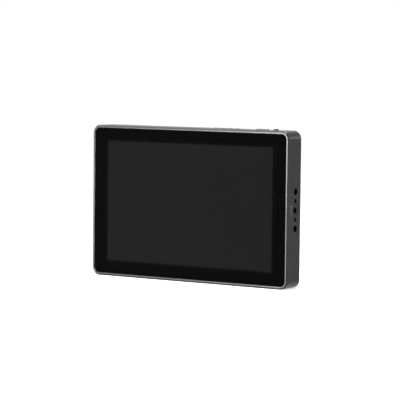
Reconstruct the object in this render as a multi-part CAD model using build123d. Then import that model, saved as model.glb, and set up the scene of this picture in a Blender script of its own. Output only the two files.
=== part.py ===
from build123d import *
import os

# A camera field monitor with a 7-inch 16:10 screen, in millimetres.
# X runs to the right of the viewer, Y runs back from the glass, Z runs up.
# The origin is the mouth of the thread in the bottom face.

# Screen and glass, which set the size of the case
active_width = 150.72
active_height = 94.2
border_side = 11.84        # black border of the glass beside the screen
border_end = 10.0          # and above and below it

# Case
case_depth = 19.1
case_corner_radius = 6.5
case_wall = 3.2
front_chamfer = 1.0
back_fillet = 1.0
mount_line = 11.0          # from the front rim back to the line of threads and keys

# Clearances
press_gap = 0.02
running_gap = 0.05
seat_gap = 0.12
window_gap = 0.3

# Front frame and cover glass
frame_inset = 1.2          # from the side of the case in to the frame
frame_lip = 1.0            # the bright rim seen from the front
frame_flange = 1.2
glass_gap = 0.1
glass_recess = 0.1
glass_thickness = 1.1
glass_chamfer = 0.25
tape_thickness = 0.3

# Display
panel_border = 3.6
panel_thickness = 1.3
bond_thickness = 0.25
bond_border = 2.6
guide_border = 2.2
guide_thickness = 1.5
tray_clearance = 1.0
tray_wall = 0.5
tray_sheet = 0.4
tray_gap = 0.7
led_strip_end = 2.5
led_strip_height = 1.2
led_strip_depth = 1.3

# Middle plate and main board
mid_plate_thickness = 0.9
mid_plate_gap = 0.5
standoff_radius = 2.2
board_thickness = 1.2
component_space = 8.7      # from the main board to the rear cover
board_left_gap = 2.3       # from the inside of the left wall to the board
board_right_gap = 12.3
board_end_gap = 11.0
board_corner_radius = 2.0
board_hole_inset_x = 20.0
board_hole_inset_z = 4.0

# Chips and heat sink
processor_size = 14.0
processor_height = 1.2
memory_width = 9.0
memory_height = 11.0
memory_thickness = 1.0
memory_spacing = 14.0
coil_size = 7.0
coil_height = 3.2
coil_spacing = 10.0
coil_gap = 1.0
thermal_pad_thickness = 0.5
sink_margin = 1.0          # from the edge of the vents in to the heat sink
sink_height = 34.0
sink_base = 1.5
sink_gap = 0.7             # from the fins to the rear cover
sink_fin_thickness = 0.9
sink_fin_count = 9

# Threads and locating holes, the same on the right side and the bottom
insert_radius = 4.0
insert_length = 7.0
thread_radius = 2.6
thread_chamfer = 0.5
small_pin_radius = 1.6
small_pin_spacing = 14.0
large_pin_radius = 2.5
large_pin_spacing = 28.0
pin_depth = 5.0
pattern_boss_depth = 8.4
pattern_boss_gap = 0.35    # from the middle plate to the bosses of the threads
pattern_boss_length = 38.0

# Keys along the top
key_travel = 0.5
key_gap = 0.12
key_flange_thickness = 0.8
key_flange_side = 0.2      # how far the flange reaches along the row
key_flange_across = 0.8    # how far it reaches across the row
key_post_radius = 1.1
key_post_length = 0.8
key_edge_chamfer = 0.25
power_key_inset = 17.7     # from the right side of the case in to the key
power_key_diameter = 3.9
power_key_height = 1.0
menu_key_insets = (32.4, 26.5)
menu_key_width = 5.2
menu_key_across = 3.2
menu_key_height = 0.75
function_key_inset = 70.8  # to the first key of the row
function_key_pitch = 6.3
function_key_count = 4
function_key_width = 4.8
function_key_across = 2.8
function_key_height = 0.5

# Switches and the small board that carries them
stem_radius = 0.9
stem_length = 1.65
stem_show = 0.65           # how far the stem stands out of the switch
switch_width = 4.4
switch_across = 3.6
switch_height = 1.6
key_board_thickness = 1.0
key_board_across = 6.8
key_post_clearance = 7.2   # from the outer keys to the posts of the small board
key_board_post_radius = 1.8
key_board_end = 2.2

# Sockets on the left side, with their places above the middle of the case
socket_recess = 0.5        # from the side of the case in to the sockets
video_out_rise = 35.8
video_in_rise = 15.8
data_socket_rise = -2.2
headphone_rise = -16.2
power_jack_rise = -32.2
video_width = 14.9
video_height = 5.4
video_length = 12.0
video_corner = 1.6
socket_sheet = 0.35
video_tongue_width = 11.2
video_tongue_height = 1.6
tongue_start = 1.0
video_core_length = 3.0
data_width = 9.2
data_height = 3.5
data_length = 9.5
data_tongue_width = 6.6
data_tongue_height = 0.7
data_core_length = 2.5
headphone_body = 5.6
headphone_width = 7.0
headphone_length = 14.0
headphone_nose_radius = 3.0
headphone_bore_radius = 1.8
headphone_bore_length = 12.5
power_body = 7.6
power_width = 9.0
power_length = 13.0
power_nose_radius = 3.75
power_bore_radius = 2.85
power_bore_length = 9.5
power_pin_radius = 1.05
power_pin_start = 1.0

# Rear cover
cover_inset = 1.6
cover_thickness = 1.6
cover_edge_chamfer = 0.3
cover_screw_inset = 5.2
cover_boss_radius = 2.6
cover_boss_length = 6.0
cover_lower_screw_x = 40.0
vent_margin = 6.45         # from the battery plate and from the edge of the cover
vent_rise = 20.8           # middle of the vents above the middle of the case
vent_panel_depth = 0.5
vent_panel_radius = 3.0
slot_margin = 2.6
slot_height = 2.0
slot_pitch = 5.0
slot_rows = 8
slot_columns = 2

# Battery plate
plate_width = 66.0
plate_height = 78.0
plate_thickness = 2.2
plate_corner_radius = 4.0
plate_edge_fillet = 0.6
channel_width = 39.0
rail_thickness = 3.0
rail_height = 5.4
rail_start = 10.0          # from the foot of the plate to the foot of the rails
rail_end = 2.5             # from the head of the rails to the head of the plate
hook_reach = 1.1
hook_thickness = 1.4
hook_length = 10.0
hook_drop = 1.0            # from the top of the rail down to the hook
hook_places = (0.22, 0.72)
block_width = 30.0
block_length = 9.0
block_start = 2.5
block_chamfer = 1.0
plate_screw_inset_x = 5.0
plate_screw_inset_z = 6.0
plate_boss_length = 3.0

# Battery contacts
contact_thickness = 0.8
contact_width = 2.6
contact_reach = 7.0
contact_spacing = 7.5
contact_above_floor = 2.7
contact_root = 6.0

# Battery latch
latch_rise = 10.8          # above the middle of the plate
latch_travel = 2.1
latch_bar_left = 10.0
latch_bar_right = 30.0
latch_bar_height = 9.0
latch_bar_thickness = 1.6
latch_roof = 1.4           # plate left over the pocket
wedge_width = 6.0
wedge_length = 6.0
wedge_rise = 2.0
wedge_x = 14.0
latch_button_width = 5.4
latch_button_length = 8.0
latch_button_rise = 2.6
latch_button_x = 26.6
latch_button_fillet = 0.5
cup_wall = 1.2
keeper_thickness = 1.0
spring_radius = 2.2
spring_wire = 0.35
spring_turns = 3.0
spring_pressed_length = 1.55

# Fasteners
machine_radius = 1.25
machine_head_radius = 2.35
machine_head_height = 1.3
machine_length = 5.0
small_radius = 1.0
small_head_radius = 1.8
small_head_height = 1.0
small_length = 3.0
mid_screw_length = 3.6
screw_gap = 0.03
socket_across = 1.5
socket_depth = 0.8
mid_screw_inset = 5.8      # from the side of the case in to the screws of the middle plate
mid_screw_z = (0.2, 0.8)   # places along the height
mid_screw_x = (0.22, 0.78) # places along the width

# Ribbons
ribbon_thickness = 0.2
ribbon_width = 16.0
ribbon_x = -29.0
ribbon_lap = 6.0
ribbon_bend = 0.4
key_ribbon_width = 10.0
key_ribbon_inset = 44.5    # from the right side of the case in to the ribbon
key_ribbon_lap = 4.0

# Places worked out from the sizes above
glass_inset = frame_inset + frame_lip + glass_gap
case_width = active_width + 2 * (border_side + glass_inset)
case_height = active_height + 2 * (border_end + glass_inset)
mid_z = case_height / 2
left_x = -case_width / 2
right_x = case_width / 2
front_y = -mount_line
back_y = front_y + case_depth

glass_front = front_y + glass_recess
glass_back = glass_front + glass_thickness
flange_front = glass_back + tape_thickness
flange_back = flange_front + frame_flange
panel_front = glass_back + bond_thickness
panel_back = panel_front + panel_thickness
guide_back = panel_back + guide_thickness
tray_back = guide_back + tray_sheet
mid_plate_back = tray_back + mid_plate_thickness
cover_front = back_y - cover_thickness
board_back = cover_front - component_space
board_front = board_back - board_thickness

panel_width = active_width + 2 * panel_border
panel_height = active_height + 2 * panel_border
guide_width = active_width + 2 * guide_border
guide_height = active_height + 2 * guide_border
tray_width = panel_width + 2 * (tray_clearance + tray_wall)
tray_height = panel_height + 2 * (tray_clearance + tray_wall)
window_width = tray_width + 2 * tray_gap
window_height = tray_height + 2 * tray_gap

board_left = left_x + case_wall + board_left_gap
board_right = right_x - case_wall - board_right_gap
board_width = board_right - board_left
board_height = case_height - 2 * (case_wall + board_end_gap)
board_x = (board_left + board_right) / 2
pattern_boss_half_width = -mid_plate_back - pattern_boss_gap

vent_panel_x = (plate_width / 2 + right_x - cover_inset) / 2
vent_panel_width = right_x - cover_inset - plate_width / 2 - 2 * vent_margin
vent_panel_height = slot_rows * slot_pitch + slot_margin
vent_z = mid_z + vent_rise
slot_length = (vent_panel_width - slot_margin) / slot_columns - slot_margin
processor_x = vent_panel_x
processor_z = vent_z
sink_width = vent_panel_width - 2 * sink_margin

key_ceiling = case_height - case_wall
flange_top = key_ceiling - running_gap
post_foot = flange_top - key_flange_thickness - key_post_length
switch_top = post_foot - stem_show
key_board_top = switch_top - switch_height

power_key_x = right_x - power_key_inset
key_ribbon_x = right_x - key_ribbon_inset

socket_mouth = left_x + socket_recess
video_out_z = mid_z + video_out_rise
video_in_z = mid_z + video_in_rise
data_socket_z = mid_z + data_socket_rise
headphone_z = mid_z + headphone_rise
power_jack_z = mid_z + power_jack_rise
video_y = board_back + video_height / 2
data_y = board_back + data_height / 2
headphone_y = board_back + headphone_body / 2
power_y = board_back + power_body / 2

floor_y = back_y + plate_thickness
rail_top = floor_y + rail_height
plate_z = mid_z
plate_bottom_z = plate_z - plate_height / 2
latch_z = plate_z + latch_rise
latch_roof_y = floor_y - latch_roof
latch_bar_top = latch_roof_y - running_gap
latch_bar_foot = latch_bar_top - latch_bar_thickness
keeper_top = latch_bar_foot - latch_travel - spring_pressed_length
cup_end = keeper_top - keeper_thickness
pocket_left = latch_bar_left - seat_gap
pocket_right = latch_bar_right + seat_gap
pocket_height = latch_bar_height + 2 * seat_gap


def along_x(outline, y, z, x_from, x_to):
    """Raise an outline drawn in Y and Z from x_from to x_to."""
    plane = Plane(origin=(x_from, y, z), x_dir=(0, 1, 0), z_dir=(1, 0, 0))
    return extrude(plane * outline, amount=x_to - x_from, dir=plane.z_dir)


def along_y(outline, x, z, y_from, y_to):
    """Raise an outline drawn in X and Z from y_from back to y_to."""
    plane = Plane(origin=(x, y_to, z), x_dir=(1, 0, 0), z_dir=(0, -1, 0))
    return extrude(plane * outline, amount=y_to - y_from, dir=plane.z_dir)


def along_z(outline, x, y, z_from, z_to):
    """Raise an outline drawn in X and Y from z_from up to z_to."""
    plane = Plane(origin=(x, y, z_from), x_dir=(1, 0, 0), z_dir=(0, 0, 1))
    return extrude(plane * outline, amount=z_to - z_from, dir=plane.z_dir)


def case_outline(inset):
    """The outline of the case, drawn in by an even distance."""
    radius = max(case_corner_radius - inset, 0.5)
    return RectangleRounded(case_width - 2 * inset, case_height - 2 * inset, radius)


def group(pieces):
    """Separate solids that share one node."""
    solids = [solid for piece in pieces for solid in piece.solids()]
    return Compound(children=solids)


def screw(radius, length, head_radius, head_height, countersunk=False, socket=False):
    """A screw along Z with the top of its head at zero and its point below."""
    if countersunk:
        head = Pos(0, 0, -head_height / 2) * Cone(radius, head_radius, head_height)
    else:
        head = Pos(0, 0, -head_height / 2) * Cylinder(head_radius, head_height)
    body = head + Pos(0, 0, -head_height - length / 2) * Cylinder(radius, length)
    if socket:
        body -= extrude(RegularPolygon(socket_across / 2, 6), amount=-socket_depth)
    return body


def facing_back(x, y, z):
    """A plane whose normal points back, out of the rear of the monitor."""
    return Plane(origin=(x, y, z), x_dir=(1, 0, 0), z_dir=(0, 1, 0))


def cover_screw_places():
    """Four corners, one at the middle of the top and two along the bottom."""
    side = right_x - cover_screw_inset
    top = case_height - cover_screw_inset
    corners = [(x, z) for x in (-side, side) for z in (cover_screw_inset, top)]
    lower = [(x, cover_screw_inset) for x in (-cover_lower_screw_x, cover_lower_screw_x)]
    return corners + lower + [(0.0, top)]


def mid_screw_places():
    """Two screws beside each edge of the display."""
    side = right_x - mid_screw_inset
    top = case_height - mid_screw_inset
    upright = [(x, case_height * share) for x in (-side, side) for share in mid_screw_z]
    level = [(left_x + case_width * share, top) for share in mid_screw_x]
    lower = [(left_x + case_width * share, mid_screw_inset) for share in mid_screw_x]
    return upright + level + lower


def board_screw_places():
    """The corners and the middle of the long sides of the main board."""
    half_x = board_width / 2 - board_hole_inset_x
    half_z = board_height / 2 - board_hole_inset_z
    return [(board_x + x, mid_z + z) for x in (-half_x, 0.0, half_x) for z in (-half_z, half_z)]


def plate_screw_places():
    """The four corners of the battery plate."""
    half_x = plate_width / 2 - plate_screw_inset_x
    half_z = plate_height / 2 - plate_screw_inset_z
    return [(x, plate_z + z) for x in (-half_x, half_x) for z in (-half_z, half_z)]


def key_rows():
    """Name, place along the top, width, size across and height of each key."""
    rows = [("power_key", power_key_x, power_key_diameter, power_key_diameter, power_key_height)]
    for number, inset in enumerate(menu_key_insets, start=1):
        x = right_x - inset
        rows.append((f"menu_key_{number}", x, menu_key_width, menu_key_across, menu_key_height))
    for number in range(function_key_count):
        x = right_x - function_key_inset + number * function_key_pitch
        rows.append((f"function_key_{number + 1}", x, function_key_width, function_key_across,
                     function_key_height))
    return rows


def key_outline(width, across, grow=0.0):
    """A slot with round ends, or a circle where both sizes are the same."""
    radius = min(width, across) / 2 + grow
    if width == across:
        return Circle(radius)
    return SlotOverall(width + 2 * grow, across + 2 * grow)


def key_board_post_places():
    """Where the small board hangs from the top wall, one post past each end of the keys."""
    first = min(row[1] for row in key_rows()) - key_post_clearance
    last = max(row[1] for row in key_rows()) + key_post_clearance
    return (first, last)


def thread_pattern_cut(place):
    """The insert's hole with its small and large locating holes, drilled down from a plane."""
    holes = [(0.0, insert_radius + press_gap, insert_length)]
    for spacing, radius in ((small_pin_spacing, small_pin_radius), (large_pin_spacing, large_pin_radius)):
        holes += [(side * spacing / 2, radius, pin_depth) for side in (-1, 1)]
    return [place * Pos(offset, 0, -depth / 2) * Cylinder(radius, depth) for offset, radius, depth in holes]


right_pattern = Plane(origin=(right_x, 0, mid_z), x_dir=(0, 0, 1), z_dir=(1, 0, 0))
bottom_pattern = Plane(origin=(0, 0, 0), x_dir=(1, 0, 0), z_dir=(0, 0, -1))


def video_outline(grow=0.0):
    """The outline of a video socket in Y and Z, with two slanted corners at the back."""
    half = video_width / 2 + grow
    low = -video_height / 2 - grow
    high = video_height / 2 + grow
    slant = video_corner
    points = [(low, -half), (high - slant, -half), (high, slant - half), (high, half - slant),
              (high - slant, half), (low, half)]
    return Polygon(*points, align=None)


def data_outline(grow=0.0):
    """The outline of the data socket in Y and Z, a slot standing on end."""
    return Rot(0, 0, 90) * SlotOverall(data_width + 2 * grow, data_height + 2 * grow)


def make_housing():
    """The milled case: outer wall, ledge for the display, bosses, holes and windows."""
    case = along_y(case_outline(0.0), 0, mid_z, front_y, back_y)
    front_edges = case.faces().sort_by(Axis.Y)[0].outer_wire().edges()
    case = chamfer(front_edges, front_chamfer)
    back_edges = case.faces().sort_by(Axis.Y)[-1].outer_wire().edges()
    case = fillet(back_edges, back_fillet)

    case -= along_y(case_outline(frame_inset), 0, mid_z, front_y, flange_back)
    case -= along_y(Rectangle(window_width, window_height), 0, mid_z, flange_back, tray_back)
    case -= along_y(case_outline(case_wall), 0, mid_z, tray_back, back_y)
    case -= along_y(case_outline(cover_inset), 0, mid_z, cover_front, back_y)

    boss_root = pattern_boss_depth - case_wall / 2
    boss = SlotOverall(pattern_boss_length, 2 * pattern_boss_half_width)
    boss_x = right_x - pattern_boss_depth
    case += along_x(Rot(0, 0, 90) * boss, 0, mid_z, boss_x, boss_x + boss_root)
    case += along_z(boss, 0, 0, pattern_boss_depth - boss_root, pattern_boss_depth)

    for x, z in cover_screw_places():
        case += along_y(Circle(cover_boss_radius), x, z, cover_front - cover_boss_length, cover_front)
    for x in key_board_post_places():
        case += along_z(Circle(key_board_post_radius), x, 0, key_board_top, key_ceiling + case_wall / 2)

    cuts = thread_pattern_cut(right_pattern) + thread_pattern_cut(bottom_pattern)
    machine_hole = Circle(machine_radius + screw_gap)
    small_hole = Circle(small_radius + screw_gap)
    for x, z in cover_screw_places():
        cuts.append(along_y(machine_hole, x, z, cover_front - machine_length, cover_front))
    for x, z in mid_screw_places():
        cuts.append(along_y(small_hole, x, z, flange_back, tray_back))
    for x in key_board_post_places():
        cuts.append(along_z(small_hole, x, 0, key_board_top, key_board_top + small_length))
    for name, x, width, across, height in key_rows():
        cuts.append(along_z(key_outline(width, across, key_gap), x, 0, key_ceiling, case_height))
    inner_x = left_x + case_wall
    for z in (video_out_z, video_in_z):
        cuts.append(along_x(video_outline(window_gap), video_y, z, left_x, inner_x))
    cuts.append(along_x(data_outline(window_gap), data_y, data_socket_z, left_x, inner_x))
    nose_hole = Circle(headphone_nose_radius + window_gap)
    cuts.append(along_x(nose_hole, headphone_y, headphone_z, left_x, inner_x))
    nose_hole = Circle(power_nose_radius + window_gap)
    cuts.append(along_x(nose_hole, power_y, power_jack_z, left_x, inner_x))
    for cut in cuts:
        case -= cut
    return case


def make_front_frame():
    """The bright frame: a rim round the glass and a flange behind it that carries the glass."""
    outer = along_y(case_outline(frame_inset + press_gap), 0, mid_z, front_y, flange_back)
    inner_inset = frame_inset + frame_lip
    frame = outer - along_y(case_outline(inner_inset), 0, mid_z, front_y, flange_front)
    frame -= along_y(Rectangle(window_width, window_height), 0, mid_z, flange_front, flange_back)
    for x, z in mid_screw_places():
        frame -= along_y(Circle(small_radius + screw_gap), x, z, flange_front + tape_thickness, flange_back)
    return frame


def make_cover_glass():
    """The pane in front of the display, with a small bevel round its front edge."""
    pane = along_y(case_outline(glass_inset), 0, mid_z, glass_front, glass_back)
    return chamfer(pane.faces().sort_by(Axis.Y)[0].outer_wire().edges(), glass_chamfer)


def make_glass_tape():
    """The adhesive ring between the glass and the flange of the front frame."""
    ring = along_y(case_outline(glass_inset + glass_gap), 0, mid_z, glass_back, flange_front)
    return ring - along_y(Rectangle(window_width, window_height), 0, mid_z, glass_back, flange_front)


def make_optical_bond():
    """The clear layer that bonds the panel to the glass."""
    sheet = Rectangle(active_width + 2 * bond_border, active_height + 2 * bond_border)
    return along_y(sheet, 0, mid_z, glass_back, panel_front)


def make_lcd_panel():
    """The liquid crystal cell."""
    return along_y(Rectangle(panel_width, panel_height), 0, mid_z, panel_front, panel_back)


def make_light_guide():
    """The clear sheet that spreads the backlight."""
    return along_y(Rectangle(guide_width, guide_height), 0, mid_z, panel_back, guide_back)


def make_led_strip():
    """The strip of lamps under the lower edge of the light guide."""
    z = mid_z - guide_height / 2 - led_strip_height / 2 - running_gap
    strip = Rectangle(guide_width - 2 * led_strip_end, led_strip_height)
    return along_y(strip, 0, z, guide_back - led_strip_depth, guide_back)


def make_backlight_tray():
    """The folded metal tray behind the light guide and round the panel."""
    tray = along_y(Rectangle(tray_width, tray_height), 0, mid_z, flange_front, tray_back)
    inside = Rectangle(tray_width - 2 * tray_wall, tray_height - 2 * tray_wall)
    tray -= along_y(inside, 0, mid_z, flange_front, guide_back)
    notch = Rectangle(ribbon_width + 2 * window_gap, 4 * tray_wall)
    return tray - along_y(notch, ribbon_x, mid_z - tray_height / 2, flange_front, panel_back)


def make_mid_plate():
    """The steel plate that closes the display in and carries the main board on standoffs."""
    plate = along_y(case_outline(case_wall + mid_plate_gap), 0, mid_z, tray_back, mid_plate_back)
    for x, z in mid_screw_places():
        plate -= along_y(Circle(small_radius + screw_gap), x, z, tray_back, mid_plate_back)
    for x, z in board_screw_places():
        plate += along_y(Circle(standoff_radius), x, z, mid_plate_back, board_front)
        plate -= along_y(Circle(small_radius + screw_gap), x, z, tray_back, board_front)
    slot = Rectangle(ribbon_width + 2 * tray_gap, 2 * ribbon_lap)
    return plate - along_y(slot, ribbon_x, ribbon_z(), tray_back, mid_plate_back)


def make_main_board():
    """The main circuit board."""
    outline = RectangleRounded(board_width, board_height, board_corner_radius)
    board = along_y(outline, board_x, mid_z, board_front, board_back)
    for x, z in board_screw_places():
        board -= along_y(Circle(small_radius + screw_gap), x, z, board_front, board_back)
    return board


def make_processor():
    """The image processor."""
    chip = Rectangle(processor_size, processor_size)
    return along_y(chip, processor_x, processor_z, board_back, board_back + processor_height)


def make_memory_chips():
    """Two memory chips below the processor."""
    chip = Rectangle(memory_width, memory_height)
    z = processor_z - sink_height / 2 - memory_height
    places = [processor_x - memory_spacing / 2, processor_x + memory_spacing / 2]
    return group([along_y(chip, x, z, board_back, board_back + memory_thickness) for x in places])


def make_power_coils():
    """Three coils of the power converter beside the power jack."""
    body = RectangleRounded(coil_size, coil_size, coil_size / 4)
    x = socket_mouth + power_length + coil_gap + coil_size / 2
    places = [power_jack_z + step * coil_spacing for step in range(3)]
    return group([along_y(body, x, z, board_back, board_back + coil_height) for z in places])


def make_thermal_pad():
    """The soft pad between the processor and the heat sink."""
    pad = Rectangle(processor_size, processor_size)
    front = board_back + processor_height
    return along_y(pad, processor_x, processor_z, front, front + thermal_pad_thickness)


def make_heat_sink():
    """A finned block behind the vents of the rear cover."""
    front = board_back + processor_height + thermal_pad_thickness
    sink = along_y(Rectangle(sink_width, sink_height), processor_x, processor_z, front, front + sink_base)
    pitch = (sink_width - sink_fin_thickness) / (sink_fin_count - 1)
    for number in range(sink_fin_count):
        x = processor_x - sink_width / 2 + sink_fin_thickness / 2 + number * pitch
        fin = Rectangle(sink_fin_thickness, sink_height)
        sink += along_y(fin, x, processor_z, front + sink_base, cover_front - sink_gap)
    return sink


def make_thread_insert(place):
    """A steel thread insert pressed in flush with the case."""
    body = place * Pos(0, 0, -insert_length / 2) * Cylinder(insert_radius, insert_length)
    body -= place * Pos(0, 0, -insert_length / 2) * Cylinder(thread_radius, insert_length)
    return body - place * Pos(0, 0, -thread_chamfer / 2) * Cone(
        thread_radius, thread_radius + thread_chamfer, thread_chamfer)


def make_key(x, width, across, height):
    """A key: its cap through the top wall, a flange that keeps it in and a post to its switch."""
    cap = along_z(key_outline(width, across), x, 0, flange_top, case_height + height)
    cap = chamfer(cap.faces().sort_by(Axis.Z)[-1].edges(), key_edge_chamfer)
    flange = Rectangle(width + 2 * key_flange_side, across + 2 * key_flange_across)
    cap += along_z(flange, x, 0, flange_top - key_flange_thickness, flange_top)
    return cap + along_z(Circle(key_post_radius), x, 0, post_foot, flange_top - key_flange_thickness)


def make_stem(x):
    """The moving stem of a switch, in touch with its key's post."""
    return along_z(Circle(stem_radius), x, 0, post_foot - stem_length, post_foot)


def make_key_switches():
    """One switch under each key, each with a bore that its stem slides in."""
    switches = []
    bore_foot = post_foot - stem_length - key_travel - running_gap
    for name, x, width, across, height in key_rows():
        body = along_z(Rectangle(switch_width, switch_across), x, 0, key_board_top, switch_top)
        switches.append(body - along_z(Circle(stem_radius + running_gap), x, 0, bore_foot, switch_top))
    return group(switches)


def make_key_board():
    """The small board under the top wall that carries the switches."""
    first, last = key_board_post_places()
    board = along_z(Rectangle(last - first + 2 * key_board_end, key_board_across), (first + last) / 2, 0,
                    key_board_top - key_board_thickness, key_board_top)
    hole = Circle(small_radius + screw_gap)
    for x in (first, last):
        board -= along_z(hole, x, 0, key_board_top - key_board_thickness, key_board_top)
    return board


def make_key_board_screws():
    """The two screws that hold the small board to its posts."""
    body = screw(small_radius, small_length, small_head_radius, small_head_height)
    z = key_board_top - key_board_thickness - small_head_height
    plane = [Plane(origin=(x, 0, z), x_dir=(1, 0, 0), z_dir=(0, 0, -1)) for x in key_board_post_places()]
    return group([place * body for place in plane])


def socket_shell(outline, inner, y, z, length):
    """A folded metal socket, open at its mouth in the left side and closed at its end."""
    shell = along_x(outline, y, z, socket_mouth, socket_mouth + length)
    return shell - along_x(inner, y, z, socket_mouth, socket_mouth + length - socket_sheet)


def make_video_socket(z):
    """The metal shell of one video socket."""
    return socket_shell(video_outline(), video_outline(-socket_sheet), video_y, z, video_length)


def make_video_cores():
    """The plastic core of each video socket, a block with a tongue for the contacts."""
    end = socket_mouth + video_length - socket_sheet
    cores = []
    for z in (video_out_z, video_in_z):
        block = video_outline(-socket_sheet - press_gap)
        core = along_x(block, video_y, z, end - video_core_length, end)
        tongue = Rectangle(video_tongue_height, video_tongue_width)
        cores.append(core + along_x(tongue, video_y, z, socket_mouth + tongue_start, end))
    return group(cores)


def make_data_socket():
    """The metal shell of the data socket."""
    return socket_shell(data_outline(), data_outline(-socket_sheet), data_y, data_socket_z, data_length)


def make_data_core():
    """The plastic core of the data socket with its tongue."""
    end = socket_mouth + data_length - socket_sheet
    block = data_outline(-socket_sheet - press_gap)
    core = along_x(block, data_y, data_socket_z, end - data_core_length, end)
    tongue = Rectangle(data_tongue_height, data_tongue_width)
    return core + along_x(tongue, data_y, data_socket_z, socket_mouth + tongue_start, end)


def make_headphone_jack():
    """The headphone jack: a block on the board with a round nose in the side wall."""
    body_start = left_x + case_wall + window_gap
    end = socket_mouth + headphone_length
    jack = along_x(Rectangle(headphone_body, headphone_width), headphone_y, headphone_z, body_start, end)
    nose = Circle(min(headphone_nose_radius, headphone_body / 2))
    jack += along_x(nose, headphone_y, headphone_z, socket_mouth, body_start)
    return jack - along_x(Circle(headphone_bore_radius), headphone_y, headphone_z, socket_mouth,
                          socket_mouth + headphone_bore_length)


def make_power_jack():
    """The power jack: a block on the board with a round nose in the side wall."""
    body_start = left_x + case_wall + window_gap
    end = socket_mouth + power_length
    jack = along_x(Rectangle(power_body, power_width), power_y, power_jack_z, body_start, end)
    jack += along_x(Circle(power_nose_radius), power_y, power_jack_z, socket_mouth, body_start)
    jack -= along_x(Circle(power_bore_radius), power_y, power_jack_z, socket_mouth,
                    socket_mouth + power_bore_length)
    return jack - along_x(Circle(power_pin_radius + press_gap), power_y, power_jack_z, socket_mouth, end)


def make_power_jack_pin():
    """The centre pin of the power jack."""
    pin = Circle(power_pin_radius)
    return along_x(pin, power_y, power_jack_z, socket_mouth + power_pin_start, socket_mouth + power_length)


def make_rear_cover():
    """The rear cover: a plate with two sunk vent panels, screw holes and two windows."""
    cover = along_y(case_outline(cover_inset + seat_gap), 0, mid_z, cover_front, back_y)
    cover = chamfer(cover.faces().sort_by(Axis.Y)[-1].outer_wire().edges(), cover_edge_chamfer)
    for x, z in plate_screw_places():
        cover += along_y(Circle(cover_boss_radius), x, z, cover_front - plate_boss_length, cover_front)

    panel = RectangleRounded(vent_panel_width, vent_panel_height, vent_panel_radius)
    slot = SlotOverall(slot_length, slot_height)
    cuts = []
    for side in (-1, 1):
        centre_x = side * vent_panel_x
        cuts.append(along_y(panel, centre_x, vent_z, back_y - vent_panel_depth, back_y))
        for column in range(slot_columns):
            x = centre_x + (column - (slot_columns - 1) / 2) * (slot_length + slot_margin)
            for row in range(slot_rows):
                z = vent_z + (row - (slot_rows - 1) / 2) * slot_pitch
                cuts.append(along_y(slot, x, z, cover_front, back_y))
    for x, z in cover_screw_places():
        sink = Pos(0, 0, -machine_head_height / 2) * Cone(
            machine_radius + screw_gap, machine_head_radius + screw_gap, machine_head_height)
        cuts.append(facing_back(x, back_y, z) * sink)
        cuts.append(along_y(Circle(machine_radius + screw_gap), x, z, cover_front, back_y))
    for x, z in plate_screw_places():
        hole = Circle(machine_radius + screw_gap)
        cuts.append(along_y(hole, x, z, cover_front - plate_boss_length, back_y))

    cup_left = pocket_left - cup_wall - seat_gap
    cup_right = pocket_right + cup_wall + seat_gap
    cup = Rectangle(cup_right - cup_left, pocket_height + 2 * (cup_wall + seat_gap))
    cuts.append(along_y(cup, (cup_left + cup_right) / 2, latch_z, cover_front, back_y))
    tails = Rectangle(2 * contact_spacing + 4 * contact_width, contact_width + 2 * window_gap)
    cuts.append(along_y(tails, 0, contact_tail_z(), cover_front, back_y))
    for cut in cuts:
        cover -= cut
    return cover


def contact_tail_z():
    """Where the contacts turn in through the battery plate."""
    return plate_bottom_z + block_start + block_length - contact_root + contact_width / 2


def contact_y():
    """How far back the middle of the contact blades stands."""
    return floor_y + contact_above_floor


def make_battery_contacts():
    """Three blades that point up the channel, each with a tail down to the main board."""
    head_z = plate_bottom_z + block_start + block_length + contact_reach
    foot_z = contact_tail_z() - contact_width / 2
    contacts = []
    for step in (-1, 0, 1):
        blade = Rectangle(contact_thickness, contact_width)
        x = step * contact_spacing
        contact = along_z(blade, x, contact_y(), foot_z, head_z)
        contact += along_y(blade, x, contact_tail_z(), board_back, contact_y() + contact_width / 2)
        contacts.append(contact)
    return group(contacts)


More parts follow.
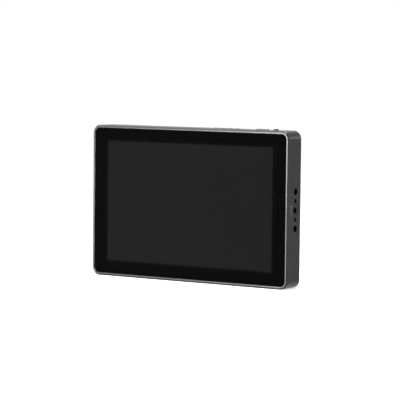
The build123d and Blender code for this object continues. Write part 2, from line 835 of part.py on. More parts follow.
def make_battery_plate():
    """The slide-on battery plate: base, two rails with hooks, contact block and latch cup."""
    outline = RectangleRounded(plate_width, plate_height, plate_corner_radius)
    plate = along_y(outline, 0, plate_z, back_y, floor_y)
    plate = fillet(plate.faces().sort_by(Axis.Y)[-1].outer_wire().edges(), plate_edge_fillet)

    rail_foot = plate_bottom_z + rail_start
    rail_head = plate_bottom_z + plate_height - rail_end
    rail_length = rail_head - rail_foot
    for side in (-1, 1):
        rail_x = side * (channel_width + rail_thickness) / 2
        rail = along_y(RectangleRounded(rail_thickness, rail_length, rail_thickness / 3), rail_x,
                       (rail_foot + rail_head) / 2, floor_y, rail_top)
        plate += chamfer(rail.faces().sort_by(Axis.Y)[-1].edges(), plate_edge_fillet)
        hook_x = side * (channel_width / 2 - hook_reach / 2 + rail_thickness / 4)
        hook = Rectangle(hook_reach + rail_thickness / 2, hook_length)
        hook_top = rail_top - hook_drop
        for place in hook_places:
            hook_z = rail_foot + place * rail_length
            plate += along_y(hook, hook_x, hook_z, hook_top - hook_thickness, hook_top)

    block_z = plate_bottom_z + block_start + block_length / 2
    block = along_y(Rectangle(block_width, block_length), 0, block_z, floor_y, rail_top)
    plate += chamfer(block.faces().sort_by(Axis.Y)[-1].edges(), block_chamfer)

    cup_x = (pocket_left + pocket_right) / 2
    cup_width = pocket_right - pocket_left
    cup = Rectangle(cup_width + 2 * cup_wall, pocket_height + 2 * cup_wall)
    plate += along_y(cup, cup_x, latch_z, cup_end, back_y)
    plate -= along_y(Rectangle(cup_width, pocket_height), cup_x, latch_z, cup_end, latch_roof_y)
    wedge_hole = Rectangle(wedge_width + 2 * seat_gap, wedge_length + 2 * seat_gap)
    plate -= along_y(wedge_hole, wedge_x, latch_z, latch_roof_y, floor_y)
    button_hole = Rectangle(latch_button_width + 2 * seat_gap, latch_button_length + 2 * seat_gap)
    plate -= along_y(button_hole, latch_button_x, latch_z, latch_roof_y, floor_y)

    for x, z in plate_screw_places():
        plate -= along_y(Circle(machine_radius + screw_gap), x, z, back_y, floor_y)
        sink = Circle(machine_head_radius + seat_gap)
        plate -= along_y(sink, x, z, floor_y - machine_head_height, floor_y)
    slot = Rectangle(contact_thickness + 2 * press_gap, contact_width + 2 * press_gap)
    for step in (-1, 0, 1):
        x = step * contact_spacing
        foot_z = contact_tail_z() - contact_width / 2 - press_gap
        plate -= along_z(slot, x, contact_y(), foot_z, block_z + block_length / 2)
        plate -= along_y(slot, x, contact_tail_z(), back_y, contact_y())
    return plate


def make_battery_latch():
    """The latch: a bar under the plate, a wedge in the channel and a button beside the rail."""
    bar_x = (latch_bar_left + latch_bar_right) / 2
    bar = Rectangle(latch_bar_right - latch_bar_left, latch_bar_height)
    latch = along_y(bar, bar_x, latch_z, latch_bar_foot, latch_bar_top)
    half = wedge_length / 2
    peak = floor_y + wedge_rise
    side_view = Polygon((latch_bar_top, -half), (peak, -half), (peak, -half / 2), (floor_y, half),
                        (latch_bar_top, half), align=None)
    latch += along_x(side_view, 0, latch_z, wedge_x - wedge_width / 2, wedge_x + wedge_width / 2)
    button = along_y(Rectangle(latch_button_width, latch_button_length), latch_button_x, latch_z,
                     latch_bar_top, floor_y + latch_button_rise)
    return latch + fillet(button.faces().sort_by(Axis.Y)[-1].edges(), latch_button_fillet)


def make_latch_keeper():
    """The plate pressed into the end of the cup, which the spring stands on."""
    outline = Rectangle(pocket_right - pocket_left - 2 * press_gap, pocket_height - 2 * press_gap)
    return along_y(outline, (pocket_left + pocket_right) / 2, latch_z, cup_end, keeper_top)


def make_latch_spring():
    """The coil spring under the latch, wound from square wire."""
    height = latch_bar_foot - keeper_top - spring_wire - 2 * running_gap
    path = Helix(pitch=height / spring_turns, height=height, radius=spring_radius)
    wire = Plane(origin=path @ 0, x_dir=(0, 0, 1), z_dir=path % 0) * Rectangle(spring_wire, spring_wire)
    coil = sweep(wire, path=path, is_frenet=True)
    foot = keeper_top + spring_wire / 2 + running_gap
    return facing_back((latch_bar_left + latch_bar_right) / 2, foot, latch_z) * coil


def ribbon_z():
    """The height at which the display ribbon runs back under the tray."""
    return mid_z - tray_height / 2 - tray_gap / 2


def make_display_ribbon():
    """The flat cable from the panel, under the tray and up onto the main board."""
    panel_y = (panel_front + panel_back) / 2
    board_y = board_back + ribbon_thickness / 2 + running_gap
    panel_foot = mid_z - panel_height / 2 - running_gap
    board_foot = mid_z - board_height / 2
    points = [(panel_y, panel_foot), (panel_y, ribbon_z()), (board_y, ribbon_z()),
              (board_y, board_foot + ribbon_lap)]
    strip = trace(FilletPolyline(*points, radius=ribbon_bend), ribbon_thickness)
    return along_x(strip, 0, 0, ribbon_x - ribbon_width / 2, ribbon_x + ribbon_width / 2)


def make_key_ribbon():
    """The flat cable from the main board up to the small board."""
    top = key_board_top - key_board_thickness
    foot = mid_z + board_height / 2 - key_ribbon_lap
    strip = Rectangle(key_ribbon_width, top - foot)
    return along_y(strip, key_ribbon_x, (top + foot) / 2, board_back, board_back + ribbon_thickness)


def screws_facing_back(places, y, body):
    """The same screw at each place, with its head towards the back."""
    return group([facing_back(x, y, z) * body for x, z in places])


nodes = {
    "housing": make_housing(),
    "front_frame": make_front_frame(),
    "cover_glass": make_cover_glass(),
    "glass_tape": make_glass_tape(),
    "optical_bond": make_optical_bond(),
    "lcd_panel": make_lcd_panel(),
    "light_guide": make_light_guide(),
    "led_strip": make_led_strip(),
    "backlight_tray": make_backlight_tray(),
    "mid_plate": make_mid_plate(),
    "main_board": make_main_board(),
    "processor": make_processor(),
    "memory_chips": make_memory_chips(),
    "power_coils": make_power_coils(),
    "thermal_pad": make_thermal_pad(),
    "heat_sink": make_heat_sink(),
    "right_thread_insert": make_thread_insert(right_pattern),
    "bottom_thread_insert": make_thread_insert(bottom_pattern),
    "key_switches": make_key_switches(),
    "key_board": make_key_board(),
    "key_board_screws": make_key_board_screws(),
    "video_out_socket": make_video_socket(video_out_z),
    "video_in_socket": make_video_socket(video_in_z),
    "video_socket_cores": make_video_cores(),
    "data_socket": make_data_socket(),
    "data_socket_core": make_data_core(),
    "headphone_jack": make_headphone_jack(),
    "power_jack": make_power_jack(),
    "power_jack_pin": make_power_jack_pin(),
    "rear_cover": make_rear_cover(),
    "battery_plate": make_battery_plate(),
    "battery_contacts": make_battery_contacts(),
    "battery_latch": make_battery_latch(),
    "latch_keeper": make_latch_keeper(),
    "latch_spring": make_latch_spring(),
    "display_ribbon": make_display_ribbon(),
    "key_ribbon": make_key_ribbon(),
}

for name, x, width, across, height in key_rows():
    nodes[name] = make_key(x, width, across, height)
    nodes[name.replace("key", "stem")] = make_stem(x)

cover_screw = screw(machine_radius, machine_length, machine_head_radius, machine_head_height, True, True)
plate_screw = screw(machine_radius, machine_length, machine_head_radius, machine_head_height, False, True)
mid_screw = screw(small_radius, mid_screw_length, small_head_radius, small_head_height)
board_screw = screw(small_radius, small_length, small_head_radius, small_head_height)
mid_head_y = mid_plate_back + small_head_height
board_head_y = board_back + small_head_height
nodes["cover_screws"] = screws_facing_back(cover_screw_places(), back_y, cover_screw)
nodes["plate_screws"] = screws_facing_back(plate_screw_places(), floor_y, plate_screw)
nodes["mid_plate_screws"] = screws_facing_back(mid_screw_places(), mid_head_y, mid_screw)
nodes["board_screws"] = screws_facing_back(board_screw_places(), board_head_y, board_screw)

os.makedirs("parts", exist_ok=True)
for name, shape in nodes.items():
    export_step(shape, f"parts/{name}.step")
print(len(nodes), "nodes written")
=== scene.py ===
"""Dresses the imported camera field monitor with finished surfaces, materials, light and a camera."""

import math

import bmesh
import bpy
import numpy as np
from mathutils import Matrix, Vector


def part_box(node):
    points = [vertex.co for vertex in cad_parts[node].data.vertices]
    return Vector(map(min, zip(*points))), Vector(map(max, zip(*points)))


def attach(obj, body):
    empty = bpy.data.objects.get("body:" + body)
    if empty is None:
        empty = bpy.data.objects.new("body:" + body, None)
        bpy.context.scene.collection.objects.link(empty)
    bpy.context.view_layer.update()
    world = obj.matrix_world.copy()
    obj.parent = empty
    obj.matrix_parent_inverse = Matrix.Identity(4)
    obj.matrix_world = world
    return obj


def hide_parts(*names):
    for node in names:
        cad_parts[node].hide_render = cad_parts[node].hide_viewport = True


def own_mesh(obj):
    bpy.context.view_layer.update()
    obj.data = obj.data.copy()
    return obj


bl_info = {
    "name": "Camera Field Monitor",
    "version": (1, 0, 0),
    "blender": (4, 5, 0),
    "location": "3D View > Sidebar > Monitor",
    "description": "Builds the finished surfaces of a camera field monitor on its packed frame",
    "category": "Object",
}

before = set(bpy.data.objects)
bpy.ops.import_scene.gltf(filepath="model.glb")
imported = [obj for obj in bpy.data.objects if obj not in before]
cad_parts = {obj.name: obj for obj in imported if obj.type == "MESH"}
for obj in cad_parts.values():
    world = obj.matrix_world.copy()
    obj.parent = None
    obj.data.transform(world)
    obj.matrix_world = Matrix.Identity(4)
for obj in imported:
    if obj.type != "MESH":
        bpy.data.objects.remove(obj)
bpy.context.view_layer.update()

MM = 0.001
HOLD = 0.02 * MM           # distance of a holding loop from the round that it ends
CORNER_STEPS = 20          # steps round a corner of the case
CASE_RADIUS = 6.5 * MM     # corner radius of the case
LEAST_RADIUS = 0.4 * MM    # corner radius that is left where a ring is drawn far in
THREAD_REACH = 4.15 * MM   # radius about the middle hole in which its walls lie
PIN_HOLES = ((14.0 * MM, 1.70 * MM), (28.0 * MM, 2.60 * MM))   # spacing and such a radius for each pair
NOISE_LOW, NOISE_HIGH = 0.3, 0.7   # nearly all values of a noise lie between these
EVEN = (1.0, 1.0, 1.0)     # a grain with no direction
MID_Z = (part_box("housing")[0].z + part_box("housing")[1].z) / 2


# Shapes

def rounded_rectangle(half_width, half_height, radius, steps=CORNER_STEPS):
    """Rectangles with round corners, one row for each entry of the three arrays.

    Each corner is an arc: its centre lies one radius in from both sides, and the point at an angle
    is the centre plus the radius times the cosine and sine of that angle. A holding point stands
    just past each end of each arc, so that the flat sides shade flat.
    """
    given = (half_width, half_height, radius)
    half_width, half_height, radius = [np.atleast_1d(np.asarray(size, float)) for size in given]
    quarter = np.linspace(0, math.pi / 2, steps + 1)
    rows = []
    for turn, (side, level) in enumerate(((1, 1), (-1, 1), (-1, -1), (1, -1))):
        angle = quarter + turn * math.pi / 2
        x = side * (half_width - radius)[:, None] + radius[:, None] * np.cos(angle)
        z = level * (half_height - radius)[:, None] + radius[:, None] * np.sin(angle)
        before = np.array([math.sin(angle[0]), -math.cos(angle[0])]) * HOLD
        after = np.array([-math.sin(angle[-1]), math.cos(angle[-1])]) * HOLD
        x = np.concatenate([x[:, :1] + before[0], x, x[:, -1:] + after[0]], axis=1)
        z = np.concatenate([z[:, :1] + before[1], z, z[:, -1:] + after[1]], axis=1)
        rows.append(np.stack([x, z], axis=-1))
    return np.concatenate(rows, axis=1)


def softened(corners, radii, steps):
    """A line through the corners, each rounded to its radius, with a holding point at both ends of a round.

    For a corner between unit directions u and v, the round touches both lines at radius / tan(half the
    angle between them), and its points lie on a circle about the corner moved along u + v.
    """
    corners = np.asarray(corners, float)
    line = [corners[:1]]
    for here, before, after, radius in zip(corners[1:-1], corners[:-2], corners[2:], radii):
        u = (before - here) / np.linalg.norm(before - here)
        v = (after - here) / np.linalg.norm(after - here)
        half = math.acos(float(np.clip(u @ v, -1, 1))) / 2
        reach = radius / math.tan(half)
        centre = here + (u + v) / np.linalg.norm(u + v) * radius / math.sin(half)
        start, end = here + u * reach - centre, here + v * reach - centre
        sweep = math.pi - 2 * half
        share = np.linspace(0, 1, steps)[:, None]
        arc = (np.sin((1 - share) * sweep) * start + np.sin(share * sweep) * end) / math.sin(sweep)
        line += [(here + u * (reach + HOLD))[None], centre + arc, (here + v * (reach + HOLD))[None]]
    return np.concatenate([*line, corners[-1:]])


def loft(rings, closed=False):
    """Points and faces of a skin over rings, given as (rings, points, 3).

    Each face joins neighbours on two rings. The last ring joins the first, or both ends are flat.
    """
    count, size = rings.shape[:2]
    row, column = np.meshgrid(np.arange(count if closed else count - 1), np.arange(size), indexing="ij")
    below, beside = (row + 1) % count, (column + 1) % size
    faces = np.stack([row * size + column, row * size + beside,
                      below * size + beside, below * size + column], axis=-1).reshape(-1, 4).tolist()
    if not closed:
        faces += [list(range(size)), list(range((count - 1) * size, count * size))]
    return rings.reshape(-1, 3), faces


def upright(outline, y, middle_x=0.0, middle_z=MID_Z):
    """Rings in space: each row of an outline gives X and Z about the middle, and stands at its own y."""
    depth = np.broadcast_to(np.asarray(y, float)[:, None], outline.shape[:2])
    return np.stack([outline[..., 0] + middle_x, depth, outline[..., 1] + middle_z], axis=-1)


def around_case(inset, y):
    """Rings that follow the outline of the case, each drawn in by its inset and standing at its y."""
    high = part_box("housing")[1]
    inset = np.asarray(inset, float)
    radius = np.maximum(CASE_RADIUS - inset, LEAST_RADIUS)
    return upright(rounded_rectangle(high.x - inset, high.z - MID_Z - inset, radius), y)


def window(half_x, half_z, radius, first_y, last_y):
    """Two equal rings round a rectangular window in the middle of the case, one at each y."""
    return upright(rounded_rectangle([half_x] * 2, [half_z] * 2, [radius] * 2), [first_y, last_y])


def turned(profile, count):
    """Rings of a body turned about Z: the point at an angle is the radius times its cosine and sine."""
    profile = np.asarray(profile, float)
    angle = np.linspace(0, 2 * math.pi, count, endpoint=False)
    x = profile[:, :1] * np.cos(angle)
    y = profile[:, :1] * np.sin(angle)
    z = np.broadcast_to(profile[:, 1:], x.shape)
    return np.stack([x, y, z], axis=-1)


def placed(points, origin, axis):
    """Points drawn about Z, turned so that Z runs along the axis, and moved to the origin."""
    turn = np.array(Vector(axis).to_track_quat("Z", "Y").to_matrix())
    return points @ turn.T + np.asarray(origin, float)


def joined(*shapes):
    """Several shapes of points and faces as one."""
    points, faces, start = [], [], 0
    for shape_points, shape_faces in shapes:
        points.append(shape_points.reshape(-1, 3))
        faces += [[index + start for index in face] for face in shape_faces]
        start += len(shape_points.reshape(-1, 3))
    return np.concatenate(points), faces


def box_shape(low, high, edge, steps=3):
    """A block with round edges: a rounded rectangle in X and Z, drawn in at both ends of Y.

    Over a quarter circle the inset is the edge times one less the sine of the angle, and the depth
    from the end is the edge times one less the cosine.
    """
    low, high = np.asarray(low, float), np.asarray(high, float)
    middle, half = (low + high) / 2, (high - low) / 2
    angle = np.linspace(0, math.pi / 2, steps + 1)
    inset, depth = edge * (1 - np.sin(angle)), edge * (1 - np.cos(angle))
    inset = np.concatenate([inset, inset[::-1]])
    depth = np.concatenate([low[1] + depth, high[1] - depth[::-1]])
    radius = np.maximum(edge - inset, edge * 0.05)
    outline = rounded_rectangle(half[0] - inset, half[2] - inset, radius, steps)
    return loft(upright(outline, depth, middle[0], middle[2]))


# Pieces

def make_piece(name, shape, materials, body, slot, replaces=(), smooth=30.0, bands=None):
    """A mesh of the given points and faces, closed, facing outwards, and riding on its body."""
    points, faces = shape
    weld = 0.001 * MM
    mesh = bpy.data.meshes.new(name)
    mesh.from_pydata(points.tolist(), [], faces)
    for material in materials:
        mesh.materials.append(material)
    if bands is not None:
        mesh.polygons.foreach_set("material_index", bands)
    skin = bmesh.new()
    skin.from_mesh(mesh)
    bmesh.ops.remove_doubles(skin, verts=skin.verts, dist=weld)
    bmesh.ops.recalc_face_normals(skin, faces=skin.faces)
    skin.to_mesh(mesh)
    skin.free()
    settle(name, mesh, body, slot, replaces, smooth)


def settle(name, mesh, body, slot, replaces, smooth):
    """Shades a finished mesh, and makes it an object that rides on its body and hides the nodes it replaces.
    """
    mesh.shade_smooth()
    mesh.set_sharp_from_angle(angle=math.radians(smooth))
    piece = bpy.data.objects.new(name, mesh)
    bpy.context.scene.collection.objects.link(piece)
    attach(piece, body)
    if replaces:
        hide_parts(*replaces)
    return piece


def finished_copy(node, material, body, slot, edge=0.1, smooth=30.0):
    """A copy of a machined node with its triangles merged and its sharp edges broken by a small round."""
    weld, flat, crease = 0.002 * MM, math.radians(0.4), math.radians(28.0)
    skin = bmesh.new()
    skin.from_mesh(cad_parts[node].data)
    bmesh.ops.remove_doubles(skin, verts=skin.verts, dist=weld)
    bmesh.ops.dissolve_limit(skin, angle_limit=flat, verts=skin.verts, edges=skin.edges)
    if edge:
        sharp = [e for e in skin.edges if len(e.link_faces) == 2 and e.calc_face_angle(0.0) > crease]
        bmesh.ops.bevel(skin, geom=sharp, offset=edge * MM, segments=2, profile=0.5, affect="EDGES",
                        clamp_overlap=True)
    mesh = bpy.data.meshes.new(node + "_finish")
    skin.to_mesh(mesh)
    skin.free()
    mesh.materials.append(material)
    piece = settle(node + "_finish", mesh, body, slot, (node,), smooth)
    even = piece.modifiers.new("flat_faces_stay_flat", "WEIGHTED_NORMAL")
    even.keep_sharp = True
    even.weight = 60
    return piece


def paint_hole_shade(piece, material, axis, inward, places, radius, mouth):
    """Paints shade into the holes along one axis: their walls get a second material, a near-black painted
    shade, from just below their mouth inwards.

    A face belongs to a hole where its centre is nearer to the hole's axis than the radius, and
    lies past the mouth in the inward direction (1 or -1), but not further than the reach.
    """
    reach = 6.0 * MM
    mesh = piece.data
    if material.name not in mesh.materials:
        mesh.materials.append(material)
    count = len(mesh.polygons)
    centres, marks = np.zeros(count * 3), np.zeros(count, np.int32)
    mesh.polygons.foreach_get("center", centres)
    mesh.polygons.foreach_get("material_index", marks)
    centres = centres.reshape(-1, 3)
    across = [other for other in range(3) if other != axis]
    for place in places:
        near = np.hypot(*(centres[:, across] - np.asarray(place)).T) < radius
        past = (centres[:, axis] - mouth) * inward
        marks[near & (past > 0) & (past < reach)] = mesh.materials.find(material.name)
    mesh.polygons.foreach_set("material_index", marks)


def dress(node, material):
    """Gives a node that keeps its own shape a finished material."""
    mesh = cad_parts[node].data
    if not mesh.materials:
        mesh.materials.append(material)
    for index in range(len(mesh.materials)):
        mesh.materials[index] = material


# Materials

def shader(name, colour, roughness, metallic=0.0, **sockets):
    """A material whose constants stand on the shader's own sockets."""
    material = bpy.data.materials.new(name)
    material.use_nodes = True
    principled = material.node_tree.nodes["Principled BSDF"]
    principled.inputs["Base Color"].default_value = (*colour, 1.0)
    principled.inputs["Roughness"].default_value = roughness
    principled.inputs["Metallic"].default_value = metallic
    for socket, value in sockets.items():
        principled.inputs[socket.replace("_", " ")].default_value = value
    return material


def pattern(material, kind, scale, stretch=EVEN, detail=2.0):
    """A texture on Object coordinates, in cells per metre, and the socket that gives its value."""
    nodes, links = material.node_tree.nodes, material.node_tree.links
    place = nodes.new("ShaderNodeTexCoord")
    mapping = nodes.new("ShaderNodeMapping")
    mapping.inputs["Scale"].default_value = stretch
    texture = nodes.new(kind)
    texture.inputs["Scale"].default_value = scale
    links.new(place.outputs["Object"], mapping.inputs["Vector"])
    links.new(mapping.outputs["Vector"], texture.inputs["Vector"])
    if kind == "ShaderNodeTexNoise":
        texture.inputs["Detail"].default_value = detail
        return texture.outputs["Fac"]
    return texture.outputs["Distance"]


def relief(material, value, depth):
    """Raises the surface by the value, up to a depth in millimetres, on top of any relief it has."""
    nodes, links = material.node_tree.nodes, material.node_tree.links
    bump = nodes.new("ShaderNodeBump")
    bump.inputs["Distance"].default_value = depth * MM
    links.new(value, bump.inputs["Height"])
    normal = nodes["Principled BSDF"].inputs["Normal"]
    if normal.links:
        links.new(normal.links[0].from_socket, bump.inputs["Normal"])
    links.new(bump.outputs["Normal"], normal)


def between(material, value, low, high, socket):
    """Drives one of the shader's numbers between two levels by the value."""
    nodes, links = material.node_tree.nodes, material.node_tree.links
    spread = nodes.new("ShaderNodeMapRange")
    spread.inputs["From Min"].default_value = NOISE_LOW
    spread.inputs["From Max"].default_value = NOISE_HIGH
    spread.inputs["To Min"].default_value = low
    spread.inputs["To Max"].default_value = high
    links.new(value, spread.inputs["Value"])
    links.new(spread.outputs["Result"], nodes["Principled BSDF"].inputs[socket])


def tones(material, value, stops, socket="Base Color"):
    """Colours the surface by the value, through a ramp between two stops of (position, colour)."""
    nodes, links = material.node_tree.nodes, material.node_tree.links
    ramp = nodes.new("ShaderNodeValToRGB")
    for element, (position, colour) in zip(ramp.color_ramp.elements, stops):
        element.position = position
        element.color = (*colour, 1.0)
    links.new(value, ramp.inputs["Fac"])
    links.new(ramp.outputs["Color"], nodes["Principled BSDF"].inputs[socket])


def shade(colour, amount):
    """A colour made lighter or darker by a factor."""
    return tuple(min(1.0, channel * amount) for channel in colour)


def mottled(material, value, colour, dark, light):
    """Colours the surface by the value, between a darker and a lighter shade of one colour."""
    tones(material, value, [(NOISE_LOW, shade(colour, dark)), (NOISE_HIGH, shade(colour, light))])


def blasted_metal(name, colour, roughness, grain=5200.0, depth=0.012, **sockets):
    """Bead-blasted and anodised metal: a fine even grain, and faint clouds of tone and gloss."""
    material = shader(name, colour, roughness, **sockets)
    clouds = pattern(material, "ShaderNodeTexNoise", 90.0, detail=4.0)
    mottled(material, clouds, colour, 0.93, 1.07)
    between(material, clouds, roughness - 0.03, roughness + 0.03, "Roughness")
    relief(material, pattern(material, "ShaderNodeTexNoise", grain, detail=1.0), depth)
    return material


def moulded_plastic(name, colour, roughness, grain=2600.0, depth=0.02):
    """Moulded plastic with a fine leathery grain from its tool, and faint flow clouds."""
    material = shader(name, colour, roughness)
    clouds = pattern(material, "ShaderNodeTexNoise", 140.0, detail=3.0)
    mottled(material, clouds, colour, 0.9, 1.1)
    between(material, clouds, roughness - 0.04, roughness + 0.04, "Roughness")
    relief(material, pattern(material, "ShaderNodeTexVoronoi", grain), depth)
    relief(material, pattern(material, "ShaderNodeTexNoise", grain * 2.3, detail=1.0), depth * 0.4)
    return material


def turned_metal(name, colour, roughness, lines, depth, stretch=EVEN):
    """Bare or plated metal with fine drawn lines, which a stretch draws out along one direction."""
    material = shader(name, colour, roughness, metallic=1.0)
    streaks = pattern(material, "ShaderNodeTexNoise", lines, stretch, detail=3.0)
    mottled(material, streaks, colour, 0.88, 1.08)
    between(material, streaks, roughness - 0.05, roughness + 0.07, "Roughness")
    relief(material, streaks, depth)
    return material


class MonitorFinish(bpy.types.PropertyGroup):
    """Colours of the monitor's finishes."""

    case: bpy.props.FloatVectorProperty(
        name="Case", description="Colour of the anodised case", subtype="COLOR",
        default=(0.031, 0.031, 0.0316))
    rim: bpy.props.FloatVectorProperty(
        name="Rim", description="Colour of the bright front rim", subtype="COLOR",
        default=(0.53, 0.53, 0.53))
    border: bpy.props.FloatVectorProperty(
        name="Border", description="Colour of the border printed behind the glass", subtype="COLOR",
        default=(0.0008, 0.0008, 0.0008))
    # This colour is also the painted glow of the screen's active area.
    screen: bpy.props.FloatVectorProperty(
        name="Screen", description="Colour of the dark picture on the screen", subtype="COLOR",
        default=(0.0094, 0.0094, 0.0096))
    keys: bpy.props.FloatVectorProperty(
        name="Keys", description="Colour of the keys along the top", subtype="COLOR",
        default=(0.14, 0.14, 0.142))
    power_key: bpy.props.FloatVectorProperty(
        name="Power key", description="Colour of the power key", subtype="COLOR",
        default=(0.03, 0.03, 0.031))
    cover: bpy.props.FloatVectorProperty(
        name="Rear cover", description="Colour of the rear cover", subtype="COLOR",
        default=(0.036, 0.036, 0.038))
    plastic: bpy.props.FloatVectorProperty(
        name="Battery plate", description="Colour of the battery plate", subtype="COLOR",
        default=(0.024, 0.024, 0.025))
    latch: bpy.props.FloatVectorProperty(
        name="Latch", description="Colour of the battery latch", subtype="COLOR",
        default=(0.045, 0.045, 0.047))
    mark: bpy.props.FloatVectorProperty(
        name="Mark", description="Colour of the thread size beside the side hole", subtype="COLOR",
        default=(0.26, 0.26, 0.26))


class MonitorSizes(bpy.types.PropertyGroup):
    """Sizes of the details that the finished surfaces add."""

    screen_width: bpy.props.FloatProperty(
        name="Screen width", description="Width of the part of the screen that lights up",
        default=149.9 * MM, unit="LENGTH")
    screen_height: bpy.props.FloatProperty(
        name="Screen height", description="Height of the part of the screen that lights up",
        default=93.4 * MM, unit="LENGTH")
    glass_bevel: bpy.props.FloatProperty(
        name="Glass bevel", description="Width of the bevel round the glass",
        default=0.22 * MM, unit="LENGTH")
    glass_gap: bpy.props.FloatProperty(
        name="Glass gap", description="Width of the dark line between the glass and the rim",
        default=0.3 * MM, unit="LENGTH")
    rim_crown: bpy.props.FloatProperty(
        name="Rim crown", description="How far the edges of the bright rim fall away",
        default=0.02 * MM, unit="LENGTH")
    edge_round: bpy.props.FloatProperty(
        name="Edge round", description="Radius that breaks the sharp edges of the case",
        default=0.12 * MM, unit="LENGTH")
    thread_pitch: bpy.props.FloatProperty(
        name="Thread pitch", description="Distance between the turns of the camera threads",
        default=1.27 * MM, unit="LENGTH")
    mark_height: bpy.props.FloatProperty(
        name="Mark height", description="Height of the figures beside the side hole",
        default=2.3 * MM, unit="LENGTH")


class MonitorStage(bpy.types.PropertyGroup):
    """The camera, the light and the floor."""

    lens: bpy.props.FloatProperty(
        name="Lens", description="Focal length of the camera in millimetres", default=187.98, min=1.0)
    camera_place: bpy.props.FloatVectorProperty(
        name="Camera", description="Where the camera stands", subtype="TRANSLATION", unit="LENGTH",
        default=(0.873719, -1.349315, 0.180150))
    floor_colour: bpy.props.FloatVectorProperty(
        name="Floor", description="Colour of the floor", subtype="COLOR", default=(0.8, 0.8, 0.8))


class MonitorOperator:
    """What the steps that build pieces share."""

    bl_options = {"REGISTER", "UNDO"}

    def execute(self, context):
        """Builds the piece from the settings of the scene."""
        self.build(context.scene.monitor_finish, context.scene.monitor_sizes)
        return {"FINISHED"}


class MONITOR_OT_case(MonitorOperator, bpy.types.Operator):
    """The milled case: fine blasted and anodised, with its edges broken."""

    bl_idname = "monitor.case"
    bl_label = "Case"

    def build(self, finish, sizes):
        anodised = blasted_metal("dark_anodised_case", finish.case, 0.32, Specular_IOR_Level=0.4)
        case = finished_copy("housing", anodised, "case", "dark_anodised", edge=sizes.edge_round / MM)
        # Painted shade: the hole walls get a near-black colour that stands for the shadow inside them.
        bore = blasted_metal("bore_shadow", shade(finish.case, 0.01), 0.9, Specular_IOR_Level=0.0)
        skin = 0.02 * MM
        side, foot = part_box("housing")[1].x - skin, skin
        for spacing, radius in ((0.0, THREAD_REACH), *PIN_HOLES):
            ends = (-spacing / 2, spacing / 2)
            paint_hole_shade(case, bore, 0, -1, [(0.0, MID_Z + end) for end in ends], radius, side)
            paint_hole_shade(case, bore, 2, 1, [(end, 0.0) for end in ends], radius, foot)


class MONITOR_OT_rim(MonitorOperator, bpy.types.Operator):
    """The bright front frame: a crowned rim round the glass, with the flange that carries it.

    The crown falls away with the square of the distance from a line near the rim's middle.
    """

    bl_idname = "monitor.rim"
    bl_label = "Bright rim"

    def build(self, finish, sizes):
        bright = turned_metal("bright_rim", finish.rim, 0.44, lines=2400.0, depth=0.004)
        low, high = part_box("front_frame")
        case_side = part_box("housing")[1].x
        glass_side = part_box("cover_glass")[1].x
        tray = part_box("backlight_tray")[1]
        outer = case_side - high.x
        inner = case_side - glass_side - sizes.glass_gap
        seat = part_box("glass_tape")[1].y
        points_across, highest = 9, 0.45
        lip = np.linspace(outer, inner, points_across)
        middle = outer + (inner - outer) * highest
        crown = low.y + sizes.rim_crown * ((lip - middle) / (inner - middle)) ** 2
        corners = [(outer, high.y), *np.stack([lip, crown], axis=-1), (inner, seat)]
        outer_round, lip_round, inner_round = 0.16 * MM, 0.4 * MM, 0.1 * MM
        line = softened(corners, [outer_round, *[lip_round] * (len(lip) - 2), inner_round], steps=3)
        play, corner = 0.7 * MM, 0.3 * MM
        opening = window(tray.x + play, tray.z - MID_Z + play, corner, seat, high.y)
        rings = np.concatenate([around_case(line[:, 0], line[:, 1]), opening])
        make_piece("front_rim", loft(rings, closed=True), [bright], "case", "bright_aluminium",
                   ("front_frame",), smooth=40.0)


class MONITOR_OT_glass(MonitorOperator, bpy.types.Operator):
    """The pane with its bevelled edge and the black border printed on its back."""

    bl_idname = "monitor.glass"
    bl_label = "Cover glass"

    def build(self, finish, sizes):
        clear = shader("clear_glass", (1.0, 1.0, 1.0), 0.0, Transmission_Weight=1.0, IOR=1.5)
        ink = shader("border_ink", finish.border, 0.5, Specular_IOR_Level=0.0)
        mottled(ink, pattern(ink, "ShaderNodeTexNoise", 400.0, detail=3.0), finish.border, 0.9, 1.1)
        low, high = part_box("cover_glass")
        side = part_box("housing")[1].x - high.x
        bevel, strip = sizes.glass_bevel, 1.0 * MM
        corners = [(side + bevel + strip, low.y), (side + bevel, low.y), (side, low.y + bevel),
                   (side, high.y), (side + strip, high.y)]
        front_round, back_round = 0.06 * MM, 0.03 * MM
        line = softened(corners, [front_round, front_round, back_round], steps=4)
        margin, corner, clearance = 1.2 * MM, 0.4 * MM, 0.01 * MM
        opening = window(sizes.screen_width / 2 + margin, sizes.screen_height / 2 + margin, corner,
                         high.y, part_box("lcd_panel")[0].y - clearance)
        rings = np.concatenate([around_case(line[:, 0], line[:, 1]), opening])
        shape = loft(rings)
        inked = np.zeros(len(shape[1]), np.int32)
        size = rings.shape[1]
        edge = int(np.argmax(line[:, 1] > low.y)) - 1
        inked[edge * size:len(line) * size] = 1
        make_piece("glass_pane", shape, [clear, ink], "case", "cover_glass",
                   ("cover_glass", "optical_bond"), bands=inked)


